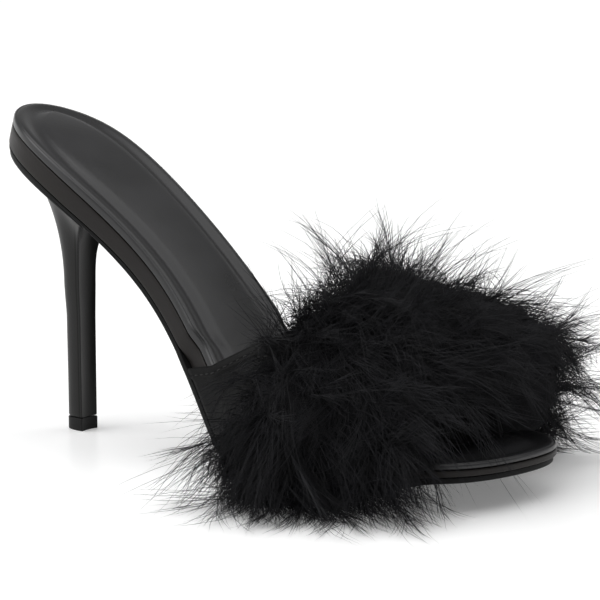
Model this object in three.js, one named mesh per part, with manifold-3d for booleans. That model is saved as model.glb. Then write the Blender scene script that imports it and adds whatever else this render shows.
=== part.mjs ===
// Right-foot marabou slipper: a slim-heeled backless mule with a vamp under a trim of down.
// Millimetres. +X runs from heel to toe, +Y towards the inner side of the foot, +Z up.
// The origin is on the floor, at the middle of the flat spot under the ball of the foot.
import * as THREE from 'three';
import { mergeVertices } from 'three/addons/utils/BufferGeometryUtils.js';
import Module from 'manifold-3d';

// Driving dimensions of the last
const soleLength = 208.6;
const seatHeight = 100.5;
const toeSpring = 9.8;
const seatWidth = 46.2;
const waistWidth = 42;
const ballWidth = 74;
const toeTipOffset = 8.7;
const seatBackOffset = 6;

// Layers of the sole, square to its tread line
const stackHeightAtSeat = 11;
const stackHeightAtToe = 6;
const outsoleThicknessAtSeat = 1.1;
const outsoleThicknessAtTread = 1.8;
const sockThicknessAtSeat = 2.7;
const sockThicknessAtToe = 1.6;
const fitGap = 0.3;
const softGap = 0.5;
const outsoleOffset = 1;
const toeSetBackFrom = 0.93;
const edgeRadius = 1.1;
const bevelWidth = 0.4;
const padCrownHeight = 0.8;
const padColumns = 6;

// Heel
const stemWidth = 7.7;
const stemDepth = 8.5;
const stemBreastOffset = 33.2;
const stemTopHeight = 50;
const heelSeatLength = 53;
const heelSeatOffset = 0.9;
const cupThickness = 1.8;
const breastHollowDepth = 0.7;
const breastSweepDepth = 6;
const tipHeight = 4.4;
const cupRimHeight = 1.1;
const cupLipOffset = 0.8;
const neckSwell = 1.12;
const stemTaper = 1.03;
const tipSwell = 1.02;

// The neck's sweep at the middle of its back, and at its sides and breast: how far in it has
// come when it has left the cup, and the shares of its fall at either end
const neckBack = { inward: 0.55, leave: 0.2, arrive: 0.42 };
const neckSide = { inward: 0.9, leave: 0.02, arrive: 0.85 };

// Vamp
const vampThickness = 1.4;
const toplineAtSole = 0.468;
const frontAtSole = 0.86;
const toplineLean = 0.42;
const frontLean = -0.2;
const wallRiseHeight = 0.5;
const instepHeight = 49.5;
const toeBoxHeight = 32;
const toplineCrownShare = 0.655;
const frontCrownShare = 0.83;
const ridgeCurveHeight = 2.5;
const wallPart = 0.12;
const archSquareness = 0.8;
const wrapStart = 0.032;
const wrapEnd = 0.01;

// Down trim
const downLength = 24;
const downSwellRear = 0.7;
const downSwellFront = 1.25;
const downEdge = 0.03;
const tuftDepth = 0.1;
const lockLength = 22;
const lockRadius = 5.2;
const lockRoot = 0.62;
const lockSway = 0.4;
const shortLock = 0.7;
const locksAcross = 17;
const locksAlong = 5;
const floorGap = 1.2;

// The flat spot under the ball, as shares of the sole's length
const treadShare = 0.73;
const treadFrom = 0.7;
const treadTo = 0.76;
const flatMargin = 0.01;

// Tread line behind the flat spot: rise as a share of the seat height
const rearRows = [
  { s: 0, rise: 1 },
  { s: 0.1, rise: 0.931 },
  { s: 0.2, rise: 0.814 },
  { s: 0.3, rise: 0.656 },
  { s: 0.4, rise: 0.463 },
  { s: 0.5, rise: 0.24 },
  { s: 0.57, rise: 0.112 },
  { s: 0.63, rise: 0.038 },
  { s: treadFrom - flatMargin, rise: 0 },
];

// Tread line ahead of the flat spot: rise as a share of the toe spring
const toeRows = [
  { s: treadTo + flatMargin, rise: 0 },
  { s: 0.83, rise: 0.36 },
  { s: 0.9, rise: 0.86 },
  { s: 0.96, rise: 0.985 },
  { s: 1, rise: 1 },
];

// Outline of the last: half widths to each side of the centre line, as shares of a width
const outlineRows = [
  { s: 0.04, of: seatWidth, lateral: 0.25, medial: 0.375 },
  { s: 0.12, of: seatWidth, lateral: 0.5, medial: 0.462 },
  { s: 0.22, of: seatWidth, lateral: 0.533, medial: 0.467 },
  { s: 0.36, of: waistWidth, lateral: 0.498, medial: 0.502 },
  { s: 0.5, of: ballWidth, lateral: 0.389, medial: 0.305 },
  { s: 0.62, of: ballWidth, lateral: 0.543, medial: 0.394 },
  { s: 0.74, of: ballWidth, lateral: 0.496, medial: 0.496 },
  { s: 0.86, of: ballWidth, lateral: 0.39, medial: 0.503 },
  { s: 0.95, of: ballWidth, lateral: 0.303, medial: 0.381 },
];

// The down round the vamp, from the outer side (a = 0) to the inner side (a = 1): its reach
// and its droop as shares of the down's length, where it starts behind, and how far it fans
const downRows = [
  { a: 0, reach: 0.42, droop: 0.1, from: 0.33, rear: 0, front: 10 },
  { a: 0.2, reach: 0.66, droop: 0.4, from: 0.27, rear: 8, front: 45 },
  { a: 0.5, reach: 0.58, droop: 0.25, from: 0.1, rear: 25, front: 45 },
  { a: 0.7, reach: 1.22, droop: 0.25, from: 0.1, rear: 20, front: 32 },
  { a: 0.84, reach: 1.06, droop: 0.3, from: 0.12, rear: 20, front: 42 },
  { a: 1, reach: 0.95, droop: 0.1, from: 0.25, rear: 15, front: 20 },
];

const mix = (a, b, k) => a + (b - a) * k;
const clamp01 = (k) => Math.min(Math.max(k, 0), 1);
const ease = (from, to, v) => {
  const k = clamp01((v - from) / (to - from));
  return k * k * (3 - 2 * k);
};

// Cubic spline through rows: a free end has no bend, a given end slope is kept
function spline(xs, ys, startSlope = null, endSlope = null) {
  const n = xs.length;
  const low = new Array(n).fill(0);
  const mid = new Array(n).fill(1);
  const high = new Array(n).fill(0);
  const right = new Array(n).fill(0);
  const step = (i) => xs[i + 1] - xs[i];
  const rate = (i) => (ys[i + 1] - ys[i]) / step(i);
  for (let i = 1; i < n - 1; i++) {
    low[i] = step(i - 1);
    mid[i] = 2 * (step(i - 1) + step(i));
    high[i] = step(i);
    right[i] = 6 * (rate(i) - rate(i - 1));
  }
  if (startSlope !== null) {
    mid[0] = 2 * step(0);
    high[0] = step(0);
    right[0] = 6 * (rate(0) - startSlope);
  }
  if (endSlope !== null) {
    low[n - 1] = step(n - 2);
    mid[n - 1] = 2 * step(n - 2);
    right[n - 1] = 6 * (endSlope - rate(n - 2));
  }
  for (let i = 1; i < n; i++) {
    const k = low[i] / mid[i - 1];
    mid[i] -= k * high[i - 1];
    right[i] -= k * right[i - 1];
  }
  const bend = new Array(n).fill(0);
  bend[n - 1] = right[n - 1] / mid[n - 1];
  for (let i = n - 2; i >= 0; i--) {
    bend[i] = (right[i] - high[i] * bend[i + 1]) / mid[i];
  }
  return (x) => {
    let i = 0;
    while (i < n - 2 && x > xs[i + 1]) i++;
    const h = step(i);
    const a = (xs[i + 1] - x) / h;
    const b = 1 - a;
    const sag = ((a ** 3 - a) * bend[i] + (b ** 3 - b) * bend[i + 1]) * h * h / 6;
    return a * ys[i] + b * ys[i + 1] + sag;
  };
}

// Height of the tread line over the floor at a share of the sole's length
const rearLine = spline(rearRows.map((r) => r.s), rearRows.map((r) => r.rise * seatHeight), null, 0);
const toeLine = spline(toeRows.map((r) => r.s), toeRows.map((r) => r.rise * toeSpring), 0, null);
function treadHeight(s) {
  if (s < treadFrom - flatMargin) return rearLine(s);
  if (s > treadTo + flatMargin) return toeLine(s);
  return 0;
}

// Unit vector square to the tread line, pointing up into the shoe
function squareUp(s) {
  const ds = 1e-4;
  const slope = (treadHeight(s + ds) - treadHeight(s - ds)) / (2 * ds * soleLength);
  return new THREE.Vector3(-slope, 0, 1).normalize();
}

// The outline is one closed spline round an angle: 0 at the seat's back, PI at the toe
const angleOf = (share) => Math.acos(1 - 2 * share);
const outlineKnots = [
  { t: 0, y: seatBackOffset },
  ...outlineRows.map((r) => ({ t: angleOf(r.s), y: -r.lateral * r.of })),
  { t: Math.PI, y: toeTipOffset },
  ...outlineRows.map((r) => ({ t: 2 * Math.PI - angleOf(r.s), y: r.medial * r.of })).reverse(),
];
const wrapped = [
  ...outlineKnots.slice(-4).map((k) => ({ t: k.t - 2 * Math.PI, y: k.y })),
  ...outlineKnots,
  ...outlineKnots.slice(0, 4).map((k) => ({ t: k.t + 2 * Math.PI, y: k.y })),
];
const outlineY = spline(wrapped.map((k) => k.t), wrapped.map((k) => k.y));

// A point of the sole's side: angle, side (-1 outer, 1 inner), inset square to the outline,
// height above the tread line
function edgePoint(t, side, inset, height) {
  const turn = side < 0 ? t : 2 * Math.PI - t;
  const dt = 1e-4;
  const dx = soleLength / 2 * Math.sin(turn);
  const dy = (outlineY(turn + dt) - outlineY(turn - dt)) / (2 * dt);
  const run = Math.hypot(dx, dy);
  const share = (1 - Math.cos(turn)) / 2 - inset * dy / run / soleLength;
  const y = outlineY(turn) + inset * dx / run;
  const up = squareUp(share);
  const x = (share - treadShare) * soleLength;
  return new THREE.Vector3(x + up.x * height, y, treadHeight(share) + up.z * height);
}

// Heights of the layers along the sole
const stackHeight = (s) => mix(stackHeightAtSeat, stackHeightAtToe, ease(0.5, 0.75, s));
const outsoleTop = (s) => mix(outsoleThicknessAtSeat, outsoleThicknessAtTread, ease(0.2, 0.34, s));
const sockThick = (s) => mix(sockThicknessAtSeat, sockThicknessAtToe, ease(0.5, 0.75, s));
const boardBottom = (s) => outsoleTop(s) + fitGap;
const boardTop = (s) => stackHeight(s) - sockThick(s) - fitGap;

// Board and sock step in where the vamp wraps their sides
const underVamp = (s) => ease(toplineAtSole - wrapStart, toplineAtSole - wrapEnd, s)
  * (1 - ease(frontAtSole + wrapEnd, frontAtSole + wrapStart, s));
const boardInset = (s) => underVamp(s) * (vampThickness + softGap);
const outsoleInset = (s) => fitGap * (1 - underVamp(s))
  + (outsoleOffset - fitGap) * ease(frontAtSole, toeSetBackFrom, s);

// Triangles of a grid of points, added to a list; flip turns them over
function addGrid(list, grid, flip = false) {
  const push = (p, q, r) => {
    if (p.distanceTo(q) < 1e-4 || q.distanceTo(r) < 1e-4 || r.distanceTo(p) < 1e-4) return;
    list.push(...(flip ? [p, r, q] : [p, q, r]));
  };
  for (let i = 0; i + 1 < grid.length; i++) {
    for (let j = 0; j + 1 < grid[i].length; j++) {
      push(grid[i][j], grid[i + 1][j], grid[i + 1][j + 1]);
      push(grid[i][j], grid[i + 1][j + 1], grid[i][j + 1]);
    }
  }
}

function closedGeometry(list) {
  const raw = new THREE.BufferGeometry().setFromPoints(list);
  return mergeVertices(raw, 1e-4);
}

// Solids for joins and cuts, and back to geometry
const wasm = await Module();
wasm.setup();
function solidOf(geometry) {
  const bare = geometry.clone();
  bare.deleteAttribute('normal');
  bare.deleteAttribute('uv');
  const merged = mergeVertices(bare, 1e-4);
  const vertProperties = new Float32Array(merged.attributes.position.array);
  const triVerts = new Uint32Array(merged.index.array);
  return new wasm.Manifold(new wasm.Mesh({ numProp: 3, vertProperties, triVerts }));
}

function geometryOf(solid) {
  const mesh = solid.getMesh();
  const geometry = new THREE.BufferGeometry();
  geometry.setAttribute('position', new THREE.BufferAttribute(mesh.vertProperties, 3));
  geometry.setIndex(new THREE.BufferAttribute(mesh.triVerts, 1));
  return geometry;
}

// Stations along the sole: even in the outline's angle, with the flat spot's ends among them
function stations() {
  const seatToTread = 30;
  const onTread = 2;
  const treadToToe = 13;
  const list = [];
  const run = (from, to, steps) => {
    for (let i = 0; i < steps; i++) list.push(mix(from, to, i / steps));
  };
  run(0, angleOf(treadFrom), seatToTread);
  run(angleOf(treadFrom), angleOf(treadTo), onTread);
  run(angleOf(treadTo), Math.PI, treadToToe);
  list.push(Math.PI);
  return list;
}

// A sole layer: rings of its side from below to above, closed by a face straight across
// below and by one with a soft crown above
function soleLayer(rings, across, crown) {
  const list = [];
  const ts = stations();
  const shareOf = (t) => (1 - Math.cos(t)) / 2;
  const ringPoint = (ring, t, side) => edgePoint(t, side, ring.inset(shareOf(t)), ring.height(shareOf(t)));
  for (const side of [-1, 1]) {
    const grid = rings.map((ring) => ts.map((t) => ringPoint(ring, t, side)));
    addGrid(list, grid, side < 0);
  }
  const face = (ring, rise) => ts.map((t) => {
    const a = ringPoint(ring, t, -1);
    const b = ringPoint(ring, t, 1);
    const up = squareUp(shareOf(t));
    return Array.from({ length: across + 1 }, (_, j) => {
      const v = j / across;
      const bulge = rise * Math.sin(t) ** 0.5 * (1 - (2 * v - 1) ** 4);
      return a.clone().lerp(b, v).addScaledVector(up, j % across ? bulge : 0);
    });
  });
  addGrid(list, face(rings[0], 0), true);
  addGrid(list, face(rings[rings.length - 1], crown), false);
  return closedGeometry(list);
}

function outsoleGeometry() {
  return soleLayer([
    { inset: (s) => outsoleInset(s) + bevelWidth, height: () => 0 },
    { inset: outsoleInset, height: () => bevelWidth },
    { inset: outsoleInset, height: outsoleTop },
  ], 1, 0);
}

function boardGeometry() {
  return soleLayer([
    { inset: (s) => boardInset(s) + bevelWidth, height: boardBottom },
    { inset: boardInset, height: (s) => boardBottom(s) + bevelWidth },
    { inset: boardInset, height: (s) => boardTop(s) - bevelWidth },
    { inset: (s) => boardInset(s) + bevelWidth, height: boardTop },
  ], 1, 0);
}

function sockGeometry() {
  const bottom = (s) => boardTop(s) + fitGap;
  return soleLayer([
    { inset: (s) => boardInset(s) + bevelWidth, height: bottom },
    { inset: boardInset, height: (s) => mix(bottom(s), stackHeight(s), 0.25) },
    { inset: (s) => boardInset(s) + 0.15 * edgeRadius, height: (s) => mix(bottom(s), stackHeight(s), 0.7) },
    { inset: (s) => boardInset(s) + edgeRadius, height: stackHeight },
  ], padColumns, padCrownHeight);
}

// Stages of the neck's sweep from the cup down to the stem, as shares of its curve
const neckSteps = [0.12, 0.24, 0.35, 0.45, 0.55, 0.65, 0.76, 0.88];

// Heel: rings run round the back from the outer breast corner to the inner one, then back
// along the breast
const roundSteps = 18;
const breastSteps = 4;
const sectionSquareness = 0.8;
function heelRing(corner, back) {
  const ring = [];
  for (let i = 0; i <= roundSteps; i++) ring.push(back(mix(-1, 1, i / roundSteps)));
  for (let i = 1; i < breastSteps; i++) ring.push(corner(mix(1, -1, i / breastSteps)));
  ring.push(ring[0]);
  return ring;
}

// Section of the stem at a height: a round back and a slightly hollow flat breast
function stemRing(z, grow) {
  const width = stemWidth * grow;
  const depth = stemDepth * grow;
  const breastX = stemBreastOffset - treadShare * soleLength;
  const back = (v) => {
    const angle = v * Math.PI / 2;
    const x = breastX - depth * Math.cos(angle) ** sectionSquareness;
    const y = Math.sign(v) * Math.abs(Math.sin(angle)) ** sectionSquareness * width / 2;
    return new THREE.Vector3(x, y, z);
  };
  const corner = (v) => new THREE.Vector3(breastX - breastHollowDepth * (1 - v * v), v * width / 2, z);
  return heelRing(corner, back);
}

// Ring of the cup under the seat, which follows the sole's underside
function cupRing(inset, drop) {
  const frontAngle = angleOf(heelSeatLength / soleLength);
  const below = (v) => -fitGap - drop * (1 - 0.75 * Math.abs(v) ** 6);
  const back = (v) => edgePoint(Math.abs(v) * frontAngle, Math.sign(v) || 1, inset, below(v));
  const ends = [back(-1), back(1)];
  const corner = (v) => {
    const swept = breastSweepDepth * (1 - v * v);
    const share = (ends[0].x - swept) / soleLength + treadShare;
    const up = squareUp(share);
    const y = mix(ends[0].y, ends[1].y, (v + 1) / 2);
    return new THREE.Vector3(ends[0].x - swept, y, treadHeight(share) + up.z * below(v));
  };
  return heelRing(corner, back);
}

function ringCap(ring, centre) {
  return [ring, ring.map(() => centre)];
}

function centreOf(ring) {
  const sum = new THREE.Vector3();
  ring.slice(0, -1).forEach((p) => sum.add(p));
  return sum.divideScalar(ring.length - 1);
}

function heelGeometry() {
  const top = cupRing(heelSeatOffset, 0);
  const rim = cupRing(heelSeatOffset, cupRimHeight);
  const crease = cupRing(heelSeatOffset + cupLipOffset, cupThickness);
  const neckStart = stemRing(stemTopHeight, neckSwell);
  const rings = [top, rim, crease];
  for (const u of neckSteps) {
    rings.push(crease.map((p, i) => {
      const q = neckStart[i];
      const fall = p.z - q.z;
      const turn = i > roundSteps ? 1 : (2 * i / roundSteps - 1) ** 2;
      const inward = mix(neckBack.inward, neckSide.inward, turn);
      const leave = p.clone().lerp(q, inward);
      leave.z = p.z - mix(neckBack.leave, neckSide.leave, turn) * fall;
      const arrive = q.clone();
      arrive.z += mix(neckBack.arrive, neckSide.arrive, turn) * fall;
      return new THREE.CubicBezierCurve3(p, leave, arrive, q).getPoint(u);
    }));
  }
  rings.push(neckStart);
  rings.push(stemRing(stemTopHeight * 0.8, stemTaper));
  rings.push(stemRing(tipHeight + fitGap, 1));
  const list = [];
  addGrid(list, ringCap(top, centreOf(top)), false);
  addGrid(list, rings, true);
  const foot = rings[rings.length - 1];
  addGrid(list, ringCap(foot, centreOf(foot)), true);
  return closedGeometry(list);
}

function tipGeometry() {
  const rings = [
    stemRing(tipHeight, 1),
    stemRing(tipHeight - bevelWidth, tipSwell),
    stemRing(0, tipSwell),
  ];
  const list = [];
  addGrid(list, ringCap(rings[0], centreOf(rings[0])), false);
  addGrid(list, rings, true);
  addGrid(list, ringCap(rings[2], centreOf(rings[2])), true);
  return closedGeometry(list);
}

// Vamp, outer face: b runs from the topline (0) to the front edge (1); a runs over the foot
// from the sole's outer side (0) to its inner side (1), up a wall, over an arch and down
function vampWallPoint(b, side, rise) {
  const share = mix(toplineAtSole, frontAtSole, b);
  const from = outsoleTop(share) + softGap;
  const height = mix(from, stackHeight(share) + wallRiseHeight, rise);
  const lean = mix(toplineLean, frontLean, b) * (height - from) / soleLength;
  return edgePoint(angleOf(share + lean), side, 0, height);
}

function vampCrown(b) {
  const share = mix(toplineCrownShare, frontCrownShare, b);
  const z = mix(instepHeight, toeBoxHeight, b) + ridgeCurveHeight * 4 * b * (1 - b);
  return new THREE.Vector3((share - treadShare) * soleLength, 0, z);
}

function vampOuter(a, b) {
  if (a < wallPart) return vampWallPoint(b, -1, a / wallPart);
  if (a > 1 - wallPart) return vampWallPoint(b, 1, (1 - a) / wallPart);
  const angle = Math.PI * (a - wallPart) / (1 - 2 * wallPart);
  const outer = vampWallPoint(b, -1, 1);
  const inner = vampWallPoint(b, 1, 1);
  const middle = outer.clone().lerp(inner, 0.5);
  const rise = vampCrown(b).sub(middle).multiplyScalar(Math.sin(angle) ** archSquareness);
  const spread = Math.abs(Math.cos(angle)) ** archSquareness;
  const foot = angle < Math.PI / 2 ? outer : inner;
  return middle.clone().add(foot.sub(middle).multiplyScalar(spread)).add(rise);
}

// Unit directions on the vamp: out of its face, and along it towards the toe
function vampFrame(a, b) {
  const d = 0.004;
  const a0 = Math.max(a - d, 0);
  const a1 = Math.min(a + d, 1);
  const across = vampOuter(a1, b).sub(vampOuter(a0, b));
  const along = vampOuter(a, Math.min(b + d, 1)).sub(vampOuter(a, Math.max(b - d, 0))).normalize();
  const out = along.clone().cross(across).normalize();
  return { out, along };
}

function vampGrid(offset) {
  const arch = 18;
  const rows = 15;
  const columns = [0, 0.5 * wallPart];
  for (let i = 0; i <= arch; i++) columns.push(mix(wallPart, 1 - wallPart, i / arch));
  columns.push(1 - 0.5 * wallPart, 1);
  return Array.from({ length: rows + 1 }, (_, j) => columns.map((a) => {
    const b = j / rows;
    return vampOuter(a, b).addScaledVector(vampFrame(a, b).out, offset);
  }));
}

// Two faces of a wall, closed along their four borders
function closeWall(outer, inner) {
  const list = [];
  const last = outer.length - 1;
  const end = outer[0].length - 1;
  addGrid(list, outer, false);
  addGrid(list, inner, true);
  addGrid(list, [outer[0], inner[0]], true);
  addGrid(list, [outer[last], inner[last]], false);
  addGrid(list, [outer.map((row) => row[0]), inner.map((row) => row[0])], false);
  addGrid(list, [outer.map((row) => row[end]), inner.map((row) => row[end])], true);
  return closedGeometry(list);
}

function vampGeometry() {
  return closeWall(vampGrid(0), vampGrid(-vampThickness));
}

// Down: a thick cushion over the vamp with locks fused on. A row's columns are read at any a
const downColumn = (key) => spline(downRows.map((r) => r.a), downRows.map((r) => r[key]));
const down = {
  reach: downColumn('reach'),
  droop: downColumn('droop'),
  from: downColumn('from'),
  rear: downColumn('rear'),
  front: downColumn('front'),
};
const downThickness = (a, k) => downLength * down.reach(a) * mix(downSwellRear, downSwellFront, k);

// Root on the vamp and the way the down grows there: a round the foot, k from rear to front
function downRoot(a, k) {
  const b = mix(down.from(a), 0.97, k);
  const { out, along } = vampFrame(a, b);
  const fan = THREE.MathUtils.degToRad(mix(-down.rear(a), down.front(a), k));
  const way = out.clone().multiplyScalar(Math.cos(fan)).addScaledVector(along, Math.sin(fan));
  return { root: vampOuter(a, b), out, way };
}

function overFloor(p) {
  p.z = Math.max(p.z, floorGap);
  return p;
}

function downGrid(place) {
  const across = 22;
  const rows = 8;
  return Array.from({ length: rows + 1 }, (_, j) => Array.from({ length: across + 1 }, (_, i) => {
    const a = mix(downEdge, 1 - downEdge, i / across);
    return overFloor(place(a, j / rows, i, j));
  }));
}

function downCushion() {
  const tuft = (i, j) => 1 + tuftDepth * Math.sin(2.4 * i + 1.1 * j) * Math.cos(1.7 * j - 0.6 * i);
  const outer = downGrid((a, k, i, j) => {
    const { root, way } = downRoot(a, k);
    return root.addScaledVector(way, downThickness(a, k) * tuft(i, j));
  });
  const inner = downGrid((a, k) => {
    const { root, out } = downRoot(a, k);
    return root.addScaledVector(out, softGap);
  });
  return closeWall(outer, inner);
}

// One lock: a bent cone that leaves the cushion along its way and droops towards its tip
function downLock(a, k, turn) {
  const { root, way } = downRoot(a, k);
  const reach = downThickness(a, k);
  const sway = new THREE.Vector3(Math.sin(turn), Math.cos(1.7 * turn), Math.sin(2.3 * turn));
  const start = root.clone().addScaledVector(way, lockRoot * reach);
  const bend = root.clone().addScaledVector(way, reach);
  const length = lockLength * mix(shortLock, 1, Math.sin(3.1 * turn) ** 2);
  const tip = bend.clone().addScaledVector(way, length).addScaledVector(sway, lockSway * length);
  tip.z -= lockLength * down.droop(a);
  overFloor(bend);
  overFloor(tip);
  const curve = new THREE.QuadraticBezierCurve3(start, bend, tip);
  const sides = 5;
  const rings = [0, 0.45, 0.75].map((u) => {
    const centre = curve.getPoint(u);
    const along = curve.getTangent(u);
    const side = new THREE.Vector3(-along.y, along.x, 0.01).normalize();
    const up = along.clone().cross(side);
    const radius = lockRadius * (1 - u ** 2);
    return Array.from({ length: sides + 1 }, (_, i) => {
      const angle = 2 * Math.PI * (i % sides) / sides;
      return centre.clone()
        .addScaledVector(side, radius * Math.cos(angle))
        .addScaledVector(up, radius * Math.sin(angle));
    });
  });
  const list = [];
  addGrid(list, [rings[0].map(() => start), ...rings, rings[0].map(() => tip)], true);
  return closedGeometry(list);
}

function downGeometry() {
  const floor = new THREE.BoxGeometry(3 * soleLength, 3 * soleLength, 3 * soleLength);
  floor.translate(0, 0, floorGap - 1.5 * soleLength);
  let trim = solidOf(downCushion());
  for (let i = 0; i < locksAcross; i++) {
    for (let j = 0; j < locksAlong; j++) {
      const a = mix(0.05, 0.95, (i + 0.5 * (j % 2)) / (locksAcross - 0.5));
      trim = trim.add(solidOf(downLock(a, (j + 0.5) / locksAlong, 1.9 * i + 4.3 * j)));
    }
  }
  return geometryOf(trim.subtract(solidOf(floor)));
}

const black = (name, geometry, colour, roughness) => {
  const material = new THREE.MeshStandardMaterial({ color: colour, roughness, metalness: 0 });
  const mesh = new THREE.Mesh(geometry, material);
  mesh.name = name;
  return mesh;
};

const slipper = new THREE.Group();
slipper.add(black('outsole', outsoleGeometry(), 0x1b1a1a, 0.6));
slipper.add(black('insole_board', boardGeometry(), 0x37332f, 0.5));
slipper.add(black('sock_lining', sockGeometry(), 0x414142, 0.55));
slipper.add(black('heel', heelGeometry(), 0x2c2c2b, 0.45));
slipper.add(black('heel_tip', tipGeometry(), 0x30302f, 0.5));
slipper.add(black('vamp', vampGeometry(), 0x2a2a2a, 0.5));
slipper.add(black('marabou', downGeometry(), 0x17171a, 0.95));

export default slipper;
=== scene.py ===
# Marabou slipper for the right foot, dressed on its CAD frame and set as in the photograph.
# Shapes are worked out in millimetres and written to Blender in metres.
import math

import bmesh
import bpy
import numpy as np
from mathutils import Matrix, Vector


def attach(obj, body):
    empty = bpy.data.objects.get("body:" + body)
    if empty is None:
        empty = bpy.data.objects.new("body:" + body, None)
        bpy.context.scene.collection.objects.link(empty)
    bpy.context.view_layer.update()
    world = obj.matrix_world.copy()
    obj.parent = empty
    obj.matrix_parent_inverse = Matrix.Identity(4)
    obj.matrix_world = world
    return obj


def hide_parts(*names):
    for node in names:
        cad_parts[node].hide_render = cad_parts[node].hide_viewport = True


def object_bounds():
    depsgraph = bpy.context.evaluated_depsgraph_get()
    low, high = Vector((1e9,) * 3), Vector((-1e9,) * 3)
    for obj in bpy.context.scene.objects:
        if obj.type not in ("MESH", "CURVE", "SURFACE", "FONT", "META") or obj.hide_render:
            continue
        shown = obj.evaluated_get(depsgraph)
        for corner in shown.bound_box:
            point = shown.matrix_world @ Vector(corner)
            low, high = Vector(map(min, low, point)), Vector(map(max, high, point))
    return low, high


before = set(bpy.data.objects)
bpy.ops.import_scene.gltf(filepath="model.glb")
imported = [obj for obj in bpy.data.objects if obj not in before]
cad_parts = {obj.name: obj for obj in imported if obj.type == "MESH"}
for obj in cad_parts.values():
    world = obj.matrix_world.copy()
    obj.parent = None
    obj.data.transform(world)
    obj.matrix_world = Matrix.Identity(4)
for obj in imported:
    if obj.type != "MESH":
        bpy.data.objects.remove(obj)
cadLow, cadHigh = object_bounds()
body = "root"
mm = 0.001

# Camera: turn and height round the shoe in degrees, the rest in millimetres
view = {"azimuth": 36.88, "elevation": 8.93, "distance": 661.55, "lens": 125.83, "sensor": 36,
        "near": 10, "far": 100000, "aim": (-28.41, 0, 53.83)}


# The camera stands on a ball round the aim, turned from -Y towards +X and raised, and looks back
def makeCamera():
    turn, tilt = math.radians(view["azimuth"]), math.radians(view["elevation"])
    back = Vector((math.sin(turn) * math.cos(tilt), -math.cos(turn) * math.cos(tilt), math.sin(tilt)))
    lens = bpy.data.cameras.new("camera")
    lens.lens = view["lens"]
    lens.sensor_width = view["sensor"]
    lens.clip_start = view["near"] * mm
    lens.clip_end = view["far"] * mm
    camera = bpy.data.objects.new("camera", lens)
    bpy.context.scene.collection.objects.link(camera)
    camera.location = (Vector(view["aim"]) + back * view["distance"]) * mm
    camera.rotation_euler = (-back).to_track_quat("-Z", "Y").to_euler()
    bpy.context.scene.camera = camera


makeCamera()
print("camera placed")


# Straight mix of two values: a at 0 and b at 1
def mix(a, b, k):
    return a + (b - a) * k


# Smooth step from 0 at low to 1 at high: three k squared less two k cubed
def ease(low, high, v):
    k = np.clip((v - low) / (high - low), 0, 1)
    return k * k * (3 - 2 * k)


# Vectors divided by their own length
def unit(v):
    return v / np.maximum(np.linalg.norm(v, axis=-1, keepdims=True), 1e-9)


# Cubic spline through points; a free end has no bend, a given end slope is kept
def spline(xs, ys, startSlope=None, endSlope=None):
    xs, ys = np.asarray(xs, float), np.asarray(ys, float)
    step = np.diff(xs)
    rate = np.diff(ys) / step
    rows, right = np.eye(len(xs)), np.zeros(len(xs))
    for i in range(1, len(xs) - 1):
        rows[i, i - 1:i + 2] = step[i - 1], 2 * (step[i - 1] + step[i]), step[i]
        right[i] = 6 * (rate[i] - rate[i - 1])
    if startSlope is not None:
        rows[0, :2] = 2 * step[0], step[0]
        right[0] = 6 * (rate[0] - startSlope)
    if endSlope is not None:
        rows[-1, -2:] = step[-1], 2 * step[-1]
        right[-1] = 6 * (endSlope - rate[-1])
    bend = np.linalg.solve(rows, right)

    def read(x):
        i = np.clip(np.searchsorted(xs, x) - 1, 0, len(xs) - 2)
        a = (xs[i + 1] - x) / step[i]
        b = 1 - a
        sag = ((a ** 3 - a) * bend[i] + (b ** 3 - b) * bend[i + 1]) * step[i] ** 2 / 6
        return a * ys[i] + b * ys[i + 1] + sag

    return read


# Soft noise at points: a sum of plane waves in seeded directions, about -1 to 1
def waves(points, size, seed, count=14):
    rng = np.random.default_rng(seed)
    ways = unit(rng.normal(size=(count, 3))) * rng.uniform(0.6, 1.6, (count, 1)) * 2 * np.pi / size
    return np.sin(points @ ways.T + rng.uniform(0, 2 * np.pi, count)).sum(-1) / count ** 0.5


# Writes a surface as one object; equal points are joined and faces turned outwards
def makePiece(name, points, faces, slot, replaces=(), join=True):
    mesh = bpy.data.meshes.new(name)
    mesh.vertices.add(len(points))
    mesh.vertices.foreach_set("co", np.asarray(points * mm, np.float32).ravel())
    mesh.loops.add(faces.size)
    mesh.loops.foreach_set("vertex_index", np.asarray(faces, np.int32).ravel())
    mesh.polygons.add(len(faces))
    mesh.polygons.foreach_set("loop_start", np.arange(len(faces), dtype=np.int32) * faces.shape[1])
    mesh.update(calc_edges=True)
    if join:
        shape = bmesh.new()
        shape.from_mesh(mesh)
        bmesh.ops.remove_doubles(shape, verts=shape.verts, dist=2e-6)
        bmesh.ops.dissolve_degenerate(shape, edges=shape.edges, dist=1e-6)
        bmesh.ops.recalc_face_normals(shape, faces=shape.faces)
        shape.to_mesh(mesh)
        shape.free()
    mesh.shade_smooth()
    piece = bpy.data.objects.new(name, mesh)
    bpy.context.scene.collection.objects.link(piece)
    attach(piece, body)
    if replaces:
        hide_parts(*replaces)
    return piece


# Quads of a grid of rows and columns of points; wrap closes each row into a ring
def gridFaces(rows, columns, wrap=False):
    i, j = np.meshgrid(np.arange(rows - 1), np.arange(columns if wrap else columns - 1), indexing="ij")
    k = (j + 1) % columns
    quads = np.stack([i * columns + j, i * columns + k, (i + 1) * columns + k, (i + 1) * columns + j], -1)
    return quads.reshape(-1, 4)


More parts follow.
